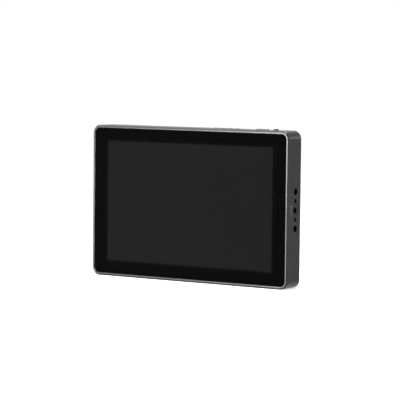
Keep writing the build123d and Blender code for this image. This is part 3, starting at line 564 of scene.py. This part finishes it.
class MONITOR_OT_screen(MonitorOperator, bpy.types.Operator):
    """The dark panel behind the glass, with its black surround outside the lit area. The lit area glows
    faintly: a painted glow for the even grey it shows under the studio light.
    """

    bl_idname = "monitor.screen"
    bl_label = "Screen"

    def build(self, finish, sizes):
        screen = shader("screen_painted_glow", finish.screen, 0.5, Specular_IOR_Level=0.0)
        nodes, links = screen.node_tree.nodes, screen.node_tree.links
        place = nodes.new("ShaderNodeTexCoord")
        parts = nodes.new("ShaderNodeSeparateXYZ")
        links.new(place.outputs["Object"], parts.inputs["Vector"])
        both = nodes.new("ShaderNodeMath")
        both.operation = "MULTIPLY"
        inside, lift = both.outputs["Value"], 0.15 * MM
        sides = (("X", 0.0, sizes.screen_width / 2), ("Z", MID_Z + lift, sizes.screen_height / 2))
        for socket, (output, middle, half) in zip(both.inputs, sides):
            near = nodes.new("ShaderNodeMath")
            near.operation = "COMPARE"
            near.inputs[1].default_value = middle
            near.inputs[2].default_value = half
            links.new(parts.outputs[output], near.inputs[0])
            links.new(near.outputs["Value"], socket)
        tones(screen, inside, [(0.4, finish.border), (0.6, shade(finish.screen, 0.15))])
        # Painted glow: the active area emits its dark grey, standing in for the light the unlit panel
        # reflects.
        tones(screen, inside, [(0.4, (0.0, 0.0, 0.0)), (0.6, finish.screen)], "Emission Color")
        nodes["Principled BSDF"].inputs["Emission Strength"].default_value = 1.0
        relief(screen, inside, 0.05)
        dress("lcd_panel", screen)


class MONITOR_OT_keys(MonitorOperator, bpy.types.Operator):
    """The keys along the top edge, fine blasted, with their edges broken and the power key darker."""

    bl_idname = "monitor.keys"
    bl_label = "Keys"

    def build(self, finish, sizes):
        metal = blasted_metal("key_finish", finish.keys, 0.36, grain=7000.0, depth=0.006)
        dark = blasted_metal("power_key_finish", finish.power_key, 0.3, grain=7000.0, depth=0.004)
        kinds = ("power_key", "menu_key", "function_key")
        for name in [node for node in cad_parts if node.startswith(kinds)]:
            material, slot = (dark, "power_key") if name == "power_key" else (metal, "key_metal")
            finished_copy(name, material, name, slot)


class MONITOR_OT_mark(MonitorOperator, bpy.types.Operator):
    """The thread size printed beside the middle hole of the right side."""

    bl_idname = "monitor.mark"
    bl_label = "Thread size"

    def build(self, finish, sizes):
        paint = shader("mark_paint", finish.mark, 0.55)
        tones(paint, pattern(paint, "ShaderNodeTexNoise", 3000.0, detail=3.0),
              [(0.35, shade(finish.mark, 0.8)), (0.65, finish.mark)])
        text = bpy.data.curves.new("thread_size", "FONT")
        text.body = "1/4-20"
        text.align_x = "CENTER"
        text.align_y = "CENTER"
        words = bpy.data.objects.new("thread_size_words", text)
        bpy.context.scene.collection.objects.link(words)
        bpy.context.view_layer.update()
        mesh = bpy.data.meshes.new_from_object(words.evaluated_get(bpy.context.evaluated_depsgraph_get()))
        bpy.data.objects.remove(words)
        points = np.zeros(len(mesh.vertices) * 3)
        mesh.vertices.foreach_get("co", points)
        points = points.reshape(-1, 3)
        tall = np.ptp(points[:, 1])
        points = (points - (points.max(axis=0) + points.min(axis=0)) / 2) * sizes.mark_height / tall
        proud, forward, lift = 0.01 * MM, 6.0 * MM, 0.4 * MM
        x = np.full(len(points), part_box("housing")[1].x + proud)
        places = np.stack([x, -forward - points[:, 1], MID_Z + lift + points[:, 0]], axis=-1)
        mesh.vertices.foreach_set("co", places.ravel())
        mesh.materials.clear()
        mesh.materials.append(paint)
        settle("thread_size_mark", mesh, "case", "dark_anodised", (), 30.0)


class MONITOR_OT_threads(MonitorOperator, bpy.types.Operator):
    """The two steel inserts with a real camera thread in each."""

    bl_idname = "monitor.threads"
    bl_label = "Camera threads"

    def build(self, finish, sizes):
        face = blasted_metal("insert_face", shade(finish.case, 0.9), 0.38, 7000.0, Specular_IOR_Level=0.4)
        # Painted shade: the thread inside the hole is near-black for the shadow deep in it.
        thread_shade = turned_metal("thread_shadow", (0.03, 0.03, 0.03), 0.4, lines=2600.0, depth=0.003)
        # Painted highlight: the lead-in is twice as light as the case, so that its lower side shows a glint.
        lead_in_highlight = blasted_metal("lead_in_painted_highlight", shade(finish.case, 2.0), 0.4, 7000.0, Specular_IOR_Level=0.4)
        length = 7.0 * MM
        for node, axis in (("right_thread_insert", (1, 0, 0)), ("bottom_thread_insert", (0, 0, -1))):
            low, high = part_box(node)
            middle = (low + high) / 2
            mouth = Vector([high.x if axis[0] else middle.x, middle.y, low.z if axis[2] else middle.z])
            rings, finishes = self.threaded_sleeve(sizes.thread_pitch, length)
            make_piece(node.replace("insert", "sleeve"), loft(placed(rings, mouth, axis), closed=True),
                       [face, thread_shade, lead_in_highlight], "case", "black_steel", (node,), 35.0,
                       np.repeat(finishes, rings.shape[1]))

    def threaded_sleeve(self, pitch, length):
        """A sleeve along Z with its mouth at zero and a thread inside.

        The inside is a grid over turns and heights: at each height and angle the radius swings between
        the minor and the major radius as a triangle wave of height plus angle over one turn, whose
        crests and roots are cut flat. With the rings comes the finish of the strip that follows each:
        0 the face, 1 the thread, painted near-black as the shade inside the hole, 2 its lead-in,
        painted lighter as a highlight.
        """
        minor, major, outer, chamfer = 2.6 * MM, 3.15 * MM, 3.98 * MM, 0.55 * MM
        edge, step, run_in, dip = 0.3 * MM, 0.05 * MM, 0.5 * MM, 0.02 * MM
        turn_steps, levels, flat = 48, 84, 0.125
        angle = np.linspace(0, 2 * math.pi, turn_steps, endpoint=False)
        depth = np.linspace(-chamfer, -length + step, levels)
        phase = (depth[:, None] / pitch + angle[None, :] / (2 * math.pi)) % 1.0
        wave = np.clip((1 + 2 * flat) * (1 - np.abs(2 * phase - 1)) - flat, 0, 1)
        rise = np.clip((-depth[:, None] - chamfer) / run_in, 0, 1)
        radius = minor + (major - minor) * wave * rise
        z = np.broadcast_to(depth[:, None], radius.shape)
        inside = np.stack([radius * np.cos(angle), radius * np.sin(angle), z], axis=-1)
        mouth = turned([(outer, -length), (outer, -edge - step), (outer - edge, 0.0),
                        (minor + chamfer + step, 0.0), (minor + chamfer, -dip)], turn_steps)
        rings = np.concatenate([mouth, inside])
        finishes = np.ones(len(rings), np.int32)
        finishes[:len(mouth)] = 0
        finishes[len(mouth) - 1] = 2
        return rings, finishes


class MONITOR_OT_sockets(MonitorOperator, bpy.types.Operator):
    """The sockets on the left side with their contacts."""

    bl_idname = "monitor.sockets"
    bl_label = "Sockets"

    def build(self, finish, sizes):
        plated = turned_metal("socket_plating", (0.62, 0.61, 0.59), 0.24, 600.0, 0.003, (1.0, 6.0, 1.0))
        core = moulded_plastic("core_plastic", (0.018, 0.018, 0.019), 0.42)
        gold = turned_metal("contact_gold", (0.83, 0.62, 0.28), 0.22, 900.0, 0.002, (1.0, 8.0, 1.0))
        jack = moulded_plastic("jack_plastic", (0.014, 0.014, 0.015), 0.34, depth=0.01)
        for node in ("video_out_socket", "video_in_socket", "data_socket"):
            finished_copy(node, plated, "case", "socket_metal", edge=0.06)
        for node in ("video_socket_cores", "data_socket_core"):
            finished_copy(node, core, "case", "black_plastic", edge=0.08)
        for node in ("headphone_jack", "power_jack"):
            finished_copy(node, jack, "case", "black_plastic", edge=0.12)
        dress("power_jack_pin", plated)
        strips = [*self.contacts("video_out_socket", 1.0, 10, 1.6, 7.0),
                  *self.contacts("video_in_socket", 1.0, 10, 1.6, 7.0),
                  *self.contacts("data_socket", 0.5, 12, 0.7, 5.0)]
        make_piece("socket_contacts", joined(*strips), [gold], "case", "contact_brass")

    def contacts(self, socket, pitch, count, thick, length):
        """Strips on both sides of a socket's tongue, at even steps about its middle.

        The pitch, the thickness of the tongue and the length are in millimetres.
        """
        low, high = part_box(socket)
        middle_y, middle_z = (low.y + high.y) / 2, (low.z + high.z) / 2
        setback, half_strip, half_width, edge = 1.4 * MM, 0.03 * MM, pitch * 0.28 * MM, 0.012 * MM
        start = low.x + setback
        for side in (-1, 1):
            y = middle_y + side * thick / 2 * MM
            for number in range(count):
                z = middle_z + (number - (count - 1) / 2) * pitch * MM
                yield box_shape((start, y - half_strip, z - half_width),
                                (start + length * MM, y + half_strip, z + half_width), edge, 1)


class MONITOR_OT_rear(MonitorOperator, bpy.types.Operator):
    """The rear cover with its vents, and the screws that hold it."""

    bl_idname = "monitor.rear"
    bl_label = "Rear cover"

    def build(self, finish, sizes):
        cover = blasted_metal("cover_coat", finish.cover, 0.46, grain=3600.0, depth=0.02)
        black = turned_metal("screw_black", (0.05, 0.05, 0.052), 0.3, lines=3000.0, depth=0.003)
        finished_copy("rear_cover", cover, "case", "cover_finish", edge=0.12)
        for node in ("cover_screws", "plate_screws"):
            finished_copy(node, black, "case", "black_steel", edge=0.08)


class MONITOR_OT_battery(MonitorOperator, bpy.types.Operator):
    """The slide-on battery plate with its contacts and latch."""

    bl_idname = "monitor.battery"
    bl_label = "Battery plate"

    def build(self, finish, sizes):
        plastic = moulded_plastic("plate_plastic", finish.plastic, 0.5)
        latch = moulded_plastic("latch_grain", finish.latch, 0.45)
        brass = turned_metal("blade_brass", (0.83, 0.64, 0.32), 0.25, 1600.0, 0.003, (1.0, 1.0, 0.15))
        steel = turned_metal("spring_steel", (0.5, 0.5, 0.51), 0.25, lines=3000.0, depth=0.002)
        finished_copy("battery_plate", plastic, "case", "black_plastic", edge=0.15)
        finished_copy("battery_latch", latch, "battery_latch", "latch_plastic", edge=0.15)
        self.add_ridges(latch)
        finished_copy("battery_contacts", brass, "case", "contact_brass")
        dress("latch_keeper", plastic)
        spring = finished_copy("latch_spring", steel, "case", "steel", edge=0.0, smooth=60.0)
        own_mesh(spring)

    def add_ridges(self, material):
        """Ridges across the top of the latch's button: blocks at even steps about its middle."""
        count, pitch, half_length, half_width = 4, 1.4 * MM, 2.0 * MM, 0.3 * MM
        sunk, proud, edge, end_to_button = 0.2 * MM, 0.25 * MM, 0.15 * MM, 3.4 * MM
        low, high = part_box("battery_latch")
        button_x, middle_z = high.x - end_to_button, (low.z + high.z) / 2
        top = max(v.co.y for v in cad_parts["battery_latch"].data.vertices if v.co.x > button_x)
        ridges = []
        for number in range(count):
            z = middle_z + (number - (count - 1) / 2) * pitch
            ridges.append(box_shape((button_x - half_length, top - sunk, z - half_width),
                                    (button_x + half_length, top + proud, z + half_width), edge))
        make_piece("latch_ridges", joined(*ridges), [material], "battery_latch", "latch_plastic")


class MONITOR_OT_inside(MonitorOperator, bpy.types.Operator):
    """Finishes of the boards, the heat sink and the other pieces inside."""

    bl_idname = "monitor.inside"
    bl_label = "Inside"

    def build(self, finish, sizes):
        board = shader("board_mask", (0.012, 0.05, 0.03), 0.35)
        tracks = pattern(board, "ShaderNodeTexVoronoi", 320.0)
        tones(board, tracks, [(0.1, (0.02, 0.085, 0.045)), (0.35, (0.010, 0.045, 0.026))])
        relief(board, tracks, 0.02)
        steel = turned_metal("plate_steel", (0.45, 0.45, 0.46), 0.35, 1400.0, 0.004, (1.0, 1.0, 0.08))
        foam = moulded_plastic("seal_foam", (0.012, 0.012, 0.012), 0.85, grain=1800.0, depth=0.05)
        clear = moulded_plastic("guide_plastic", (0.8, 0.8, 0.78), 0.2, depth=0.004)
        chip = moulded_plastic("chip_moulding", (0.025, 0.025, 0.026), 0.55, grain=4000.0, depth=0.008)
        pad = moulded_plastic("thermal_rubber", (0.3, 0.36, 0.42), 0.8, grain=900.0, depth=0.05)
        sink = blasted_metal("sink_anodising", (0.028, 0.028, 0.03), 0.4, grain=4200.0, depth=0.01)
        film = shader("ribbon_film", (0.42, 0.17, 0.03), 0.3)
        tones(film, pattern(film, "ShaderNodeTexNoise", 1200.0, (1.0, 0.02, 0.02), detail=1.0),
              [(0.42, (0.24, 0.09, 0.02)), (0.58, (0.5, 0.22, 0.05))])
        dressed = {
            board: ("main_board", "key_board", "led_strip"),
            steel: ("backlight_tray", "mid_plate", "mid_plate_screws", "board_screws", "key_board_screws"),
            foam: ("glass_tape",),
            clear: ("light_guide", "optical_bond"),
            chip: ("processor", "memory_chips", "power_coils", "key_switches",
                   *(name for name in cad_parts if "_stem" in name)),
            pad: ("thermal_pad",),
            sink: ("heat_sink",),
            film: ("display_ribbon", "key_ribbon"),
        }
        for material, names in dressed.items():
            for name in names:
                dress(name, material)


class MONITOR_OT_stage(bpy.types.Operator):
    """The camera of the photograph, soft studio light and a pale floor."""

    bl_idname = "monitor.stage"
    bl_label = "Stage"
    bl_options = {"REGISTER", "UNDO"}

    def execute(self, context):
        """Sets up the camera, the floor, the world and the lamps."""
        settings = context.scene.monitor_stage
        self.add_camera(context.scene, settings)
        self.add_floor(context.scene, settings)
        self.add_world(context.scene)
        self.add_lamps(context.scene)
        context.scene.view_settings.view_transform = "Standard"
        return {"FINISHED"}

    def add_camera(self, scene, settings):
        """A camera at the photograph's place, turned by the directions of its right side and its back."""
        data = bpy.data.cameras.new("photo_camera")
        data.lens = settings.lens
        data.sensor_width = 36.0
        camera = bpy.data.objects.new("photo_camera", data)
        scene.collection.objects.link(camera)
        right = Vector((0.84019, 0.54219, 0.01061)).normalized()
        back = Vector((0.54014, -0.83843, 0.07276)).normalized()
        up = back.cross(right)
        turn = Matrix((right, up, back)).transposed()
        camera.matrix_world = Matrix.Translation(settings.camera_place) @ turn.to_4x4()
        scene.camera = camera

    def add_floor(self, scene, settings):
        """A plain pale floor, white to the camera, that keeps the object's shadow.

        It is open under the middle of the object's foot, and can be looked through from below.
        """
        floor = shader("pale_floor", settings.floor_colour, 1.0, Specular_IOR_Level=0.0)
        nodes, links = floor.node_tree.nodes, floor.node_tree.links
        # Lifted to white for the camera, left out of glossy reflections, and clear from below
        path = nodes.new("ShaderNodeLightPath")
        clear = nodes.new("ShaderNodeBsdfTransparent")
        glow = nodes.new("ShaderNodeEmission")
        glow.inputs["Strength"].default_value = 0.65
        seen = nodes.new("ShaderNodeMixShader")
        added = nodes.new("ShaderNodeAddShader")
        passed = nodes.new("ShaderNodeMixShader")
        links.new(nodes["Principled BSDF"].outputs["BSDF"], added.inputs[0])
        links.new(glow.outputs["Emission"], added.inputs[1])
        links.new(path.outputs["Is Camera Ray"], seen.inputs["Fac"])
        links.new(nodes["Principled BSDF"].outputs["BSDF"], seen.inputs[1])
        links.new(added.outputs["Shader"], seen.inputs[2])
        links.new(path.outputs["Is Glossy Ray"], passed.inputs["Fac"])
        links.new(seen.outputs["Shader"], passed.inputs[1])
        links.new(clear.outputs["BSDF"], passed.inputs[2])
        facing = nodes.new("ShaderNodeNewGeometry")
        under = nodes.new("ShaderNodeMixShader")
        links.new(facing.outputs["Backfacing"], under.inputs["Fac"])
        links.new(passed.outputs["Shader"], under.inputs[1])
        links.new(clear.outputs["BSDF"], under.inputs[2])
        links.new(under.outputs["Shader"], nodes["Material Output"].inputs["Surface"])
        low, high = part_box("housing")
        inset, corner, drop, reach = 2.2 * MM, 1.0 * MM, 0.02 * MM, 3.0
        hole, rim = rounded_rectangle([high.x - CASE_RADIUS - corner, reach],
                                      [(high.y - low.y) / 2 - inset, reach], [corner, corner], 4)
        hole[:, 1] += (low.y + high.y) / 2
        points = np.concatenate([hole, rim])
        points = np.column_stack([points, np.full(len(points), -drop)])
        count = len(hole)
        here = np.arange(count)
        beside = (here + 1) % count
        faces = np.column_stack([here, here + count, beside + count, beside])
        mesh = bpy.data.meshes.new("floor")
        mesh.from_pydata(points.tolist(), [], faces.tolist())
        mesh.materials.append(floor)
        plane = bpy.data.objects.new("floor", mesh)
        scene.collection.objects.link(plane)

    def add_world(self, scene):
        """White behind everything, and a studio dark ahead of the glass and bright above and behind."""
        world = bpy.data.worlds.new("studio")
        scene.world = world
        world.use_nodes = True
        nodes, links = world.node_tree.nodes, world.node_tree.links
        studio = nodes["Background"]
        white = nodes.new("ShaderNodeBackground")
        white.inputs["Color"].default_value = (1.0, 1.0, 1.0, 1.0)
        path = nodes.new("ShaderNodeLightPath")
        place = nodes.new("ShaderNodeTexCoord")
        parts = nodes.new("ShaderNodeSeparateXYZ")
        links.new(place.outputs["Generated"], parts.inputs["Vector"])

        def slope(output, start, end, low, high):
            """A number that runs smoothly from low to high along one direction."""
            run = nodes.new("ShaderNodeMapRange")
            run.interpolation_type = "SMOOTHSTEP"
            for socket, value in (("From Min", start), ("From Max", end), ("To Min", low), ("To Max", high)):
                run.inputs[socket].default_value = value
            links.new(parts.outputs[output], run.inputs["Value"])
            return run.outputs["Result"]

        def combined(operation, first, second):
            """The two numbers put together by one operation."""
            result = nodes.new("ShaderNodeMath")
            result.operation = operation
            links.new(first, result.inputs[0])
            links.new(second, result.inputs[1])
            return result.outputs["Value"]

        def panel(direction, outer, inner, strength):
            """A soft round light, or a dim patch where its strength is negative.

            It fades from its inner to its outer angle, in degrees from its direction.
            """
            along = nodes.new("ShaderNodeVectorMath")
            along.operation = "DOT_PRODUCT"
            along.inputs[1].default_value = Vector(direction).normalized()
            links.new(place.outputs["Generated"], along.inputs[0])
            fade = nodes.new("ShaderNodeMapRange")
            fade.interpolation_type = "SMOOTHSTEP"
            for socket, value in (("From Min", math.cos(math.radians(outer))), ("To Min", 0.0),
                                  ("From Max", math.cos(math.radians(inner))), ("To Max", strength)):
                fade.inputs[socket].default_value = value
            links.new(along.outputs["Value"], fade.inputs["Value"])
            return fade.outputs["Result"]

        # Dark ahead, dimmer on the right but for its lowest part, and brighter from below
        ahead = slope("Y", -0.92, 0.1, 0.09, 0.77)
        right = combined("MAXIMUM", slope("X", 0.0, 0.5, 1.0, 0.45), slope("Z", -0.4, -0.12, 0.9, 0.0))
        below = slope("Z", -0.6, -0.2, 1.2, 1.0)
        room = combined("MULTIPLY", combined("MULTIPLY", ahead, right), below)
        # Behind the object: a dim patch above it and a small light on the right
        dimmed = combined("ADD", room, panel((0.0, 0.84, 0.52), 25.0, 14.0, -0.27))
        lit = combined("ADD", dimmed, panel((0.49, 0.86, 0.19), 9.0, 3.0, 3.4))
        links.new(lit, studio.inputs["Strength"])
        studio.inputs["Color"].default_value = (1.0, 1.0, 1.0, 1.0)
        # White where the camera looks, and where glossy and clear surfaces mirror the left of the room behind
        behind = combined("MULTIPLY", slope("Y", 0.2, 0.7, 0.0, 1.0), slope("X", -0.5, 0.0, 1.0, 0.0))
        mirrored = combined("MAXIMUM", path.outputs["Is Glossy Ray"], path.outputs["Is Transmission Ray"])
        seen = combined("MAXIMUM", path.outputs["Is Camera Ray"], combined("MULTIPLY", mirrored, behind))
        mix = nodes.new("ShaderNodeMixShader")
        links.new(seen, mix.inputs["Fac"])
        links.new(studio.outputs["Background"], mix.inputs[1])
        links.new(white.outputs["Background"], mix.inputs[2])
        links.new(mix.outputs["Shader"], nodes["World Output"].inputs["Surface"])

    def add_lamps(self, scene):
        """Soft boxes above on the left, in front, and over the near top corner."""
        for name, place, target, size, power in (
                ("top_box", (-0.40, -0.10, 0.80), (0.0, 0.0, 0.06), 0.6, 2.5),
                ("front_box", (0.05, -0.44, 0.235), (0.03, 0.0, 0.07), 0.16, 3.1),
                ("corner_box", (0.10, -0.25, 0.98), (0.09, 0.0, 0.12), 0.24, 4.0)):
            data = bpy.data.lights.new(name, "AREA")
            data.shape = "SQUARE"
            data.size = size
            data.energy = power
            lamp = bpy.data.objects.new(name, data)
            scene.collection.objects.link(lamp)
            turn = (Vector(target) - Vector(place)).to_track_quat("-Z", "Y").to_matrix().to_4x4()
            lamp.matrix_world = Matrix.Translation(place) @ turn


class MONITOR_PT_sidebar(bpy.types.Panel):
    """The monitor's settings and the steps of its build."""

    bl_label = "Camera field monitor"
    bl_idname = "MONITOR_PT_sidebar"
    bl_space_type = "VIEW_3D"
    bl_region_type = "UI"
    bl_category = "Monitor"

    def draw(self, context):
        """Lists the settings and a button for each step."""
        for group in GROUPS:
            settings = getattr(context.scene, group)
            box = self.layout.box()
            for name in settings.__annotations__:
                box.prop(settings, name)
        for step in STEPS:
            self.layout.operator(step.bl_idname)


STEPS = (MONITOR_OT_stage, MONITOR_OT_case, MONITOR_OT_rim, MONITOR_OT_glass, MONITOR_OT_screen,
         MONITOR_OT_keys, MONITOR_OT_mark, MONITOR_OT_threads, MONITOR_OT_sockets, MONITOR_OT_rear,
         MONITOR_OT_battery, MONITOR_OT_inside)
GROUPS = {"monitor_finish": MonitorFinish, "monitor_sizes": MonitorSizes, "monitor_stage": MonitorStage}


def register():
    """Adds the settings, the steps and the panel to Blender."""
    for name, group in GROUPS.items():
        bpy.utils.register_class(group)
        setattr(bpy.types.Scene, name, bpy.props.PointerProperty(type=group))
    for step in (*STEPS, MONITOR_PT_sidebar):
        bpy.utils.register_class(step)


def unregister():
    """Takes them out again."""
    for step in (MONITOR_PT_sidebar, *reversed(STEPS)):
        bpy.utils.unregister_class(step)
    for name, group in GROUPS.items():
        delattr(bpy.types.Scene, name)
        bpy.utils.unregister_class(group)


def main():
    """Builds everything."""
    register()
    for step in STEPS:
        family, operator = step.bl_idname.split(".")
        getattr(getattr(bpy.ops, family), operator)()


if __name__ == "__main__":
    main()
